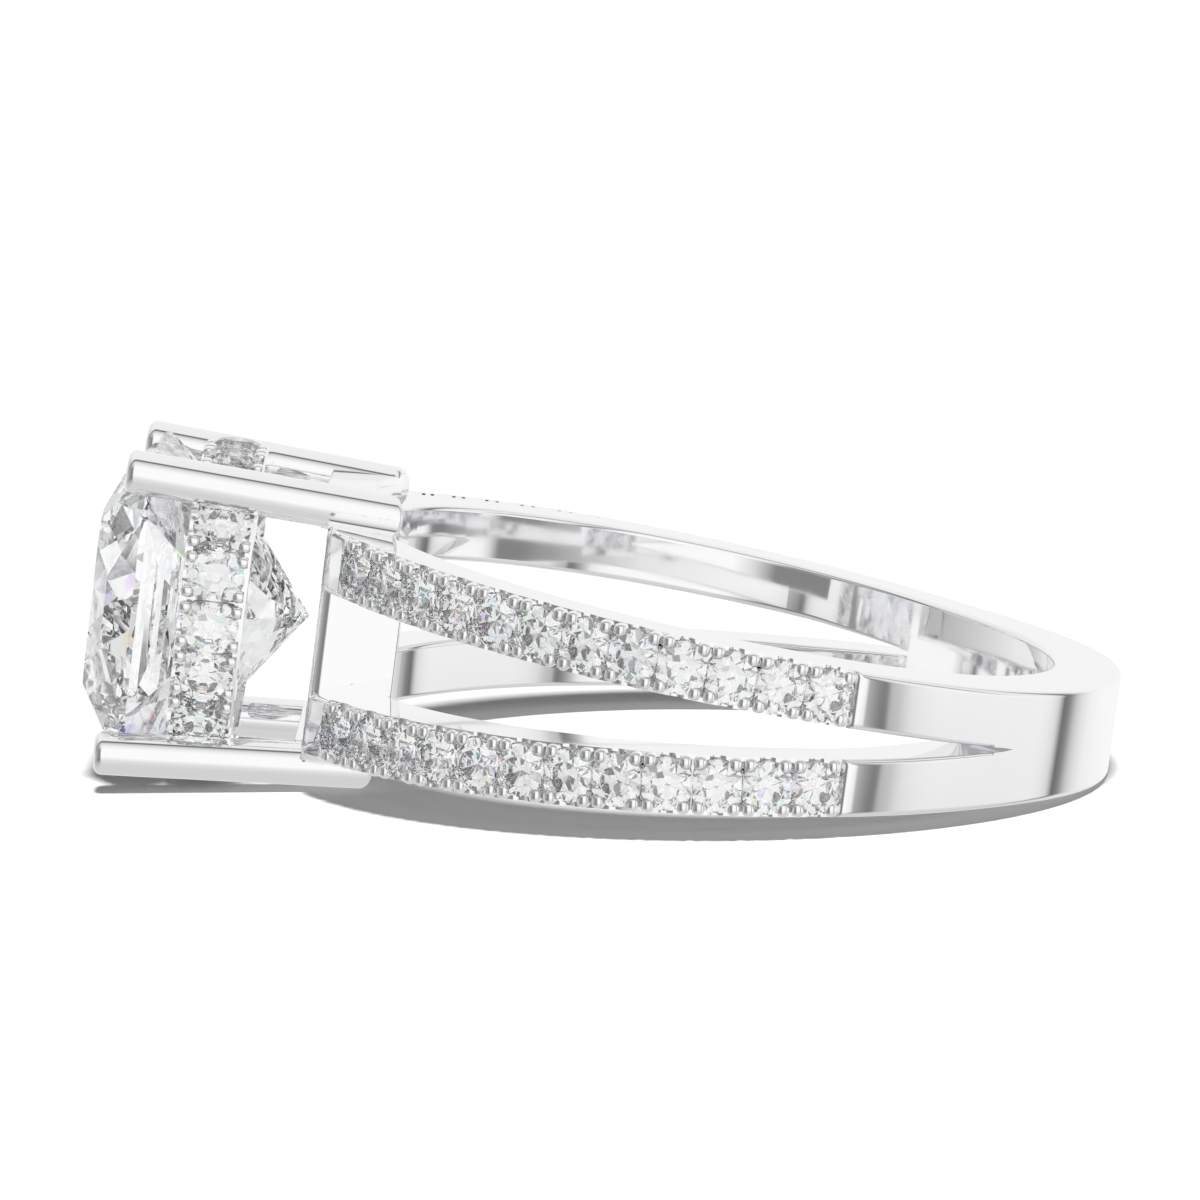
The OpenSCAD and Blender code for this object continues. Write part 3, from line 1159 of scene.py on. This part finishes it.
    def stones(self) -> Piece:
        """Cuts the halo's stones."""
        pitch = (self.side_r - self.lip + self.lift)*radians(self.pitch_angle)
        pattern = RoundBrilliant(self.stone_d, pitch - STONE_GAP).cut()
        piece = joined("halo_stones_cut", pattern, self.seats(0))
        return finish(piece, SMALL_DIAMOND, ("halo_stones",))

    def build(self) -> list[Piece]:
        """Models the halo.

        Returns:
            The finished pieces.
        """
        return [self.band(), self.beads(), self.stones()]


def turned(start: float, count: int, spread: float = 0) -> tuple[float, ...]:
    """Azimuths spread evenly round a stone.

    Args:
        start: The first azimuth in degrees.
        count: How many there are.
        spread: Where above 0, each becomes a pair this many degrees to each side.

    Returns:
        The azimuths.
    """
    middles = [start + 360*i/count for i in range(count)]
    if spread:
        return tuple(m + s*spread for m in middles for s in (-1, 1))
    return tuple(middles)


def facets(azimuths: tuple[float, ...], *profile: tuple[float, float]) -> Planes:
    """Lists the flat facets that follow a stone's profile.

    Args:
        azimuths: The directions that the facets face, in degrees round the stone's axis.
        profile: The distance from the axis and the height of each point, from the girdle in.

    Returns:
        A point and the outward normal of each facet.
    """
    found = []
    for (outer_r, outer_z), (inner_r, inner_z) in pairwise(profile):
        run = outer_r - inner_r
        rise = inner_z - outer_z
        for azimuth in azimuths:
            direction = Vector((cos(radians(azimuth)), sin(radians(azimuth)), 0))
            normal = direction*abs(rise) + Vector((0, 0, run if rise > 0 else -run))
            found.append((direction*outer_r + Vector((0, 0, outer_z)), normal.normalized()))
    return found


def grind(piece: Piece, planes: Planes) -> None:
    """Cuts flat facets on a rough stone, as on a lap.

    Args:
        piece: The rough stone.
        planes: A point and the outward normal of each facet.
    """
    with editing(piece, "VERT"):
        for point, normal in planes:
            bpy.ops.mesh.select_all(action="SELECT")
            bpy.ops.mesh.bisect(plane_co=point, plane_no=normal, use_fill=True,
                                clear_outer=True, threshold=TOUCH/10)
        bpy.ops.mesh.select_all(action="SELECT")
        bpy.ops.mesh.remove_doubles(threshold=TOUCH)
        bpy.ops.mesh.dissolve_limited(angle_limit=radians(0.3))
        bpy.ops.mesh.normals_make_consistent(inside=False)


@dataclass(frozen=True)
class RoundBrilliant:
    """A small round brilliant, ground flat beside its two neighbours.

    Points of its profile are shares: of the radius, and of the crown's height or the
    pavilion's depth.

    Attributes:
        diameter: The girdle's diameter in millimetres.
        along: Its length along the row in millimetres.
        girdle: The girdle's height in millimetres.
        crown: The crown's height, as a share of the girdle's radius.
        table: The table's radius, as a share of the girdle's.
        pavilion: The pavilion's depth, as a share of the girdle's radius.
        half_foot: The distance from the axis at which the half facets leave the girdle.
        upper_half: The point where the crown's half facets end.
        star_foot: The point where the star facets start.
        star_top: Their other end, as a share of the table's radius.
        lower_half: The point where the pavilion's half facets end.
    """

    diameter: float
    along: float
    girdle: float = 0.03
    crown: float = 0.3
    table: float = 0.56
    pavilion: float = 0.862
    half_foot: float = 0.997
    upper_half: tuple[float, float] = (0.72, 0.78)
    star_foot: tuple[float, float] = (0.74, 0.7)
    star_top: float = 0.96
    lower_half: tuple[float, float] = (0.12, 0.93)

    def cut(self) -> Piece:
        """Cuts the stone, table up, with its girdle's lower edge at z = 0.

        Returns:
            The stone, not yet laid in place.
        """
        r = self.diameter/2
        top = self.girdle
        crown = r*self.crown
        high = top + crown
        depth = r*self.pavilion
        table_r = r*self.table
        leave_edit_mode()
        bpy.ops.mesh.primitive_cylinder_add(vertices=32, radius=r, depth=4*r)
        piece = new_piece("brilliant")
        side = Vector((1, 0, 0))
        mains = turned(0, 8)
        halves = turned(22.5, 8, 11.25)
        grind(piece, [
            (Vector((0, 0, high)), Vector((0, 0, 1))),
            (side*self.along/2, side),
            (-side*self.along/2, -side),
            *facets(mains, (r, top), (table_r, high)),
            *facets(halves, (r*self.half_foot, top),
                    (r*self.upper_half[0], top + crown*self.upper_half[1])),
            *facets(turned(22.5, 8), (r*self.star_foot[0], top + crown*self.star_foot[1]),
                    (table_r*self.star_top, high)),
            *facets(mains, (r, 0), (0, -depth)),
            *facets(halves, (r*self.half_foot, 0),
                    (r*self.lower_half[0], -depth*self.lower_half[1]))])
        return piece


@dataclass
class ArmStones:
    """The two rows of stones on one side of the ring."""

    side: Side

    def build(self) -> Piece:
        """Cuts the stones.

        Returns:
            The finished piece.
        """
        pattern = RoundBrilliant(ROW.stone_d, ROW.pitch - STONE_GAP).cut()
        places = [ROW.place(ROW.stone_angle(i), FORM.bed_depth - ROW.lift, 0, self.side, level)
                  for level in Level for i in range(ROW.count)]
        name = self.side.name.lower()
        piece = joined(f"{name}_arm_stones_cut", pattern, places)
        return finish(piece, SMALL_DIAMOND, (f"{name}_arm_stones",))


@dataclass
class CentreStone:
    """The square stone with cut corners, its crown and pavilion in many facets."""

    table_reach: float = 14.56
    crown: float = 1.04
    girdle: float = 0.14
    half: float = 3.7
    corner: float = 4.24
    depth: float = 3.88
    # Height over the girdle at which the crown gets flatter
    crown_break: float = 0.68
    # How far under the table the narrow corner facets of the crown end
    table_drop: float = 0.1
    # How far under the girdle the pavilion gets flatter
    pavilion_break: float = 2.36

    def planes(self) -> Planes:
        """Lists a point and the outward normal of each facet.

        Returns:
            The facets, with the girdle's lower edge at height 0.
        """
        top = self.girdle
        high = top + self.crown
        bend = top + self.crown_break
        rim = high - self.table_drop
        low = -self.pavilion_break
        culet = (0, -self.depth)
        sides = turned(0, 4)
        corners = turned(45, 4)
        found = [(Vector((0, 0, high)), Vector((0, 0, 1)))]
        for azimuth in corners:
            direction = Vector((cos(radians(azimuth)), sin(radians(azimuth)), 0))
            found.append((direction*self.corner, direction))
        # Each row: which way the facets face, then their points' distances and heights
        found += facets(sides, (self.half, top), (2.95, bend), (2.15, high))
        found += facets(corners, (self.corner, top), (3.5, bend), (2.79, high))
        found += facets(turned(0, 4, 17), (4.19, top), (2.62, rim))
        found += facets(turned(0, 4, 30), (4.36, top), (2.95, rim))
        found += facets(sides, (self.half, 0), (3.47, -0.4), (3.1, -0.94), (2.1, low))
        found += facets(turned(0, 4, 3), (3.815, 0), (2.075, low))
        found += facets(turned(0, 4, 7), (3.955, 0), (2.115, low))
        found += facets(sides, (2.1, low), (0.91, -3.41), culet)
        found += facets(corners, (self.corner, 0), (3.3, -0.95), (1.75, low), culet)
        found += facets(turned(0, 4, 14), (4.17, 0), (1.95, low))
        found += facets(turned(0, 4, 27), (4.36, 0), (1.8, low))
        found += facets(turned(0, 4, 22.5), (2.1, -2.2), culet)
        return found

    def build(self) -> Piece:
        """Cuts the stone and sets it in the head.

        Returns:
            The finished piece.
        """
        leave_edit_mode()
        size = 2*self.half
        bpy.ops.mesh.primitive_cube_add(size=1, scale=(size, size, 4*self.depth))
        piece = new_piece("centre_stone_cut")
        grind(piece, self.planes())
        reach = self.table_reach - self.crown - self.girdle
        piece.data.transform(Matrix.Translation((-reach, 0, 0))
                             @ Matrix.Rotation(-pi/2, 4, "Y"))
        return finish(piece, CENTRE_DIAMOND, ("centre_stone",))


@dataclass
class Studio:
    """The pale floor, the soft light and the camera.

    The room's greys are ramps. Overhead and round_about run over an angle in degrees, 0 in
    front of the ring. Below and near_level run from 0, straight down, to 1, straight up.
    """

    camera_azimuth: float = -0.978
    camera_elevation: float = 7.918
    camera_distance: float = 0.11829
    camera_lens: float = 148.5
    camera_sensor: float = 36
    camera_clip: float = 0.005
    aim_from_hole: tuple[float, float, float] = (-0.002489, 0, 0.001562)
    light_bounces: int = 18
    floor_size: float = 3.0
    lamp_width: float = 12
    lamp_tilt: float = 22
    lamp_strength: float = 3.4
    fill_width: float = 130
    fill_strength: float = 0.3
    room_strength: float = 1.0
    overhead: Stops = (
        (-180, 0.95), (-150, 1.0), (31, 1.0), (42, 0.93), (52, 0.82), (62, 0.64), (67, 0.45),
        (70, 0.12), (74, 0.12), (77, 0.6), (80, 0.87), (136, 0.9), (165, 0.95), (180, 0.95))
    round_about: Stops = (
        (-180, 0.97), (-131, 0.88), (-94, 0.55), (-67, 0.36), (-42, 0.24), (-24, 0.24),
        (-16, 0.75), (-9, 1.0), (34, 1.0), (39, 0.91), (41, 0.65), (43.3, 0.42),
        (45.5, 0.26), (47.7, 0.17), (48.4, 0.5), (52, 0.6), (54, 0.74), (56, 0.83),
        (60, 0.9), (66, 0.94), (104, 0.95), (108, 0.9), (112, 0.77), (115.3, 0.17),
        (118.5, 0.26), (122.5, 0.62), (126, 0.8), (132, 0.95), (142, 1.0), (180, 0.97))
    below: Stops = (
        (0.0, 0.66), (0.106, 0.67), (0.26, 0.78), (0.33, 0.88), (0.38, 0.95), (0.4, 1.0))
    near_level: Stops = ((0.05, 0.0), (0.3, 1.0), (0.7, 1.0), (0.93, 0.0))

    def floor(self) -> None:
        """Lays the pale plain floor."""
        leave_edit_mode()
        bpy.ops.mesh.primitive_plane_add(size=self.floor_size)
        floor = new_piece("floor")
        floor.data.materials.append(PaleFloor("pale_floor").material())
        floor.visible_glossy = False

    def floor_light(self, name: str, width: float, strength: float, tilt: float) -> None:
        """Hangs a light overhead that whitens the floor and casts the ring's shadow.

        Args:
            name: The light's name.
            width: How wide it looks from the floor, in degrees.
            strength: Its strength.
            tilt: How far it stands towards the near side, in degrees.
        """
        data = bpy.data.lights.new(name, "SUN")
        data.angle = radians(width)
        data.energy = strength
        light = bpy.data.objects.new(name, data)
        light.rotation_euler = (radians(tilt), 0, 0)
        bpy.context.scene.collection.objects.link(light)
        light.visible_glossy = False
        light.visible_transmission = False

    def surroundings(self) -> None:
        """Makes the white room, with the dark gaps between its soft lights."""
        world = bpy.data.worlds.new("white_room")
        bpy.context.scene.world = world
        world.use_nodes = True
        tree = world.node_tree
        join = tree.links.new
        place = add_node(tree, "TexCoord")
        split = add_node(tree, "SeparateXYZ")
        join(place.outputs["Generated"], split.inputs["Vector"])
        forward = add_node(tree, "Math", {1: -1}, operation="MULTIPLY")
        join(split.outputs["Y"], forward.inputs[0])
        ahead = forward.outputs["Value"]
        over = self.angle_ramp(tree, split.outputs["Z"], ahead, self.overhead)
        round_about = self.angle_ramp(tree, split.outputs["X"], ahead, self.round_about)
        level = add_node(tree, "MapRange", {"From Min": -1, "From Max": 1})
        join(split.outputs["Z"], level.inputs["Value"])
        below = self.ramp(tree, level.outputs["Result"], self.below)
        near_level = self.ramp(tree, level.outputs["Result"], self.near_level)
        sides = add_node(tree, "Mix", {"A": (1, 1, 1, 1)}, data_type="RGBA")
        join(near_level, sides.inputs["Factor"])
        join(round_about, sides.inputs["B"])
        total = sides.outputs["Result"]
        for part in (over, below):
            both = add_node(tree, "Mix", {"Factor": 1}, data_type="RGBA", blend_type="MULTIPLY")
            join(total, both.inputs["A"])
            join(part, both.inputs["B"])
            total = both.outputs["Result"]
        background = tree.nodes["Background"]
        join(total, background.inputs["Color"])
        background.inputs["Strength"].default_value = self.room_strength
        world.cycles_visibility.diffuse = False

    def angle_ramp(self, tree: Tree, side: Socket, ahead: Socket, stops: Stops) -> Socket:
        """Adds a grey ramp over the angle between two parts of a direction.

        Args:
            tree: The tree to add it to.
            side: How far the direction points sideways or up.
            ahead: How far it points to the near side.
            stops: The ramp's angles, in degrees, and greys.

        Returns:
            The ramp's colour.
        """
        turn = add_node(tree, "Math", operation="ARCTAN2")
        tree.links.new(side, turn.inputs[0])
        tree.links.new(ahead, turn.inputs[1])
        share = add_node(tree, "MapRange", {"From Min": -pi, "From Max": pi})
        tree.links.new(turn.outputs["Value"], share.inputs["Value"])
        return self.ramp(tree, share.outputs["Result"],
                         tuple(((angle + 180)/360, grey) for angle, grey in stops))

    @staticmethod
    def ramp(tree: Tree, source: Socket, stops: Stops) -> Socket:
        """Adds a grey colour ramp.

        Args:
            tree: The tree to add it to.
            source: The value that runs along the ramp, from 0 to 1.
            stops: The ramp's positions and greys.

        Returns:
            The ramp's colour.
        """
        node = add_node(tree, "ValToRGB")
        elements = node.color_ramp.elements
        elements[0].position = stops[0][0]
        elements[1].position = stops[-1][0]
        for position, _ in stops[1:-1]:
            elements.new(position)
        for element, (_, grey) in zip(elements, stops):
            element.color = (grey, grey, grey, 1)
        tree.links.new(source, node.inputs["Fac"])
        return node.outputs["Color"]

    def camera(self) -> None:
        """Sets the camera at the photograph's angle."""
        azimuth = radians(self.camera_azimuth)
        elevation = radians(self.camera_elevation)
        back = Vector((sin(azimuth)*cos(elevation), -cos(azimuth)*cos(elevation),
                       sin(elevation)))
        data = bpy.data.cameras.new("camera")
        data.lens = self.camera_lens
        data.sensor_width = self.camera_sensor
        data.clip_start = self.camera_clip
        camera = bpy.data.objects.new("camera", data)
        bpy.context.scene.collection.objects.link(camera)
        camera.location = (PLACE.centre + Vector(self.aim_from_hole)
                           + back*self.camera_distance)
        camera.rotation_euler = back.to_track_quat("Z", "Y").to_euler()
        bpy.context.scene.camera = camera

    def build(self) -> None:
        """Sets up the whole studio."""
        scene = bpy.context.scene
        scene.view_settings.view_transform = "Standard"
        scene.cycles.max_bounces = self.light_bounces
        scene.cycles.glossy_bounces = self.light_bounces
        scene.cycles.transmission_bounces = self.light_bounces
        self.floor()
        self.floor_light("lamp", self.lamp_width, self.lamp_strength, self.lamp_tilt)
        self.floor_light("fill", self.fill_width, self.fill_strength, 0)
        self.surroundings()
        self.camera()


def main() -> None:
    """Builds the studio and the ring, piece by piece."""
    logging.basicConfig(level=logging.INFO, format="%(name)s: %(message)s")
    Studio().build()
    SplitBand().build()
    PaveMetal().build()
    Basket().build()
    HiddenHalo().build()
    for side in Side:
        ArmStones(side).build()
    CentreStone().build()
    leave_edit_mode()
    LOG.info("sizes written")


if __name__ == "__main__":
    main()
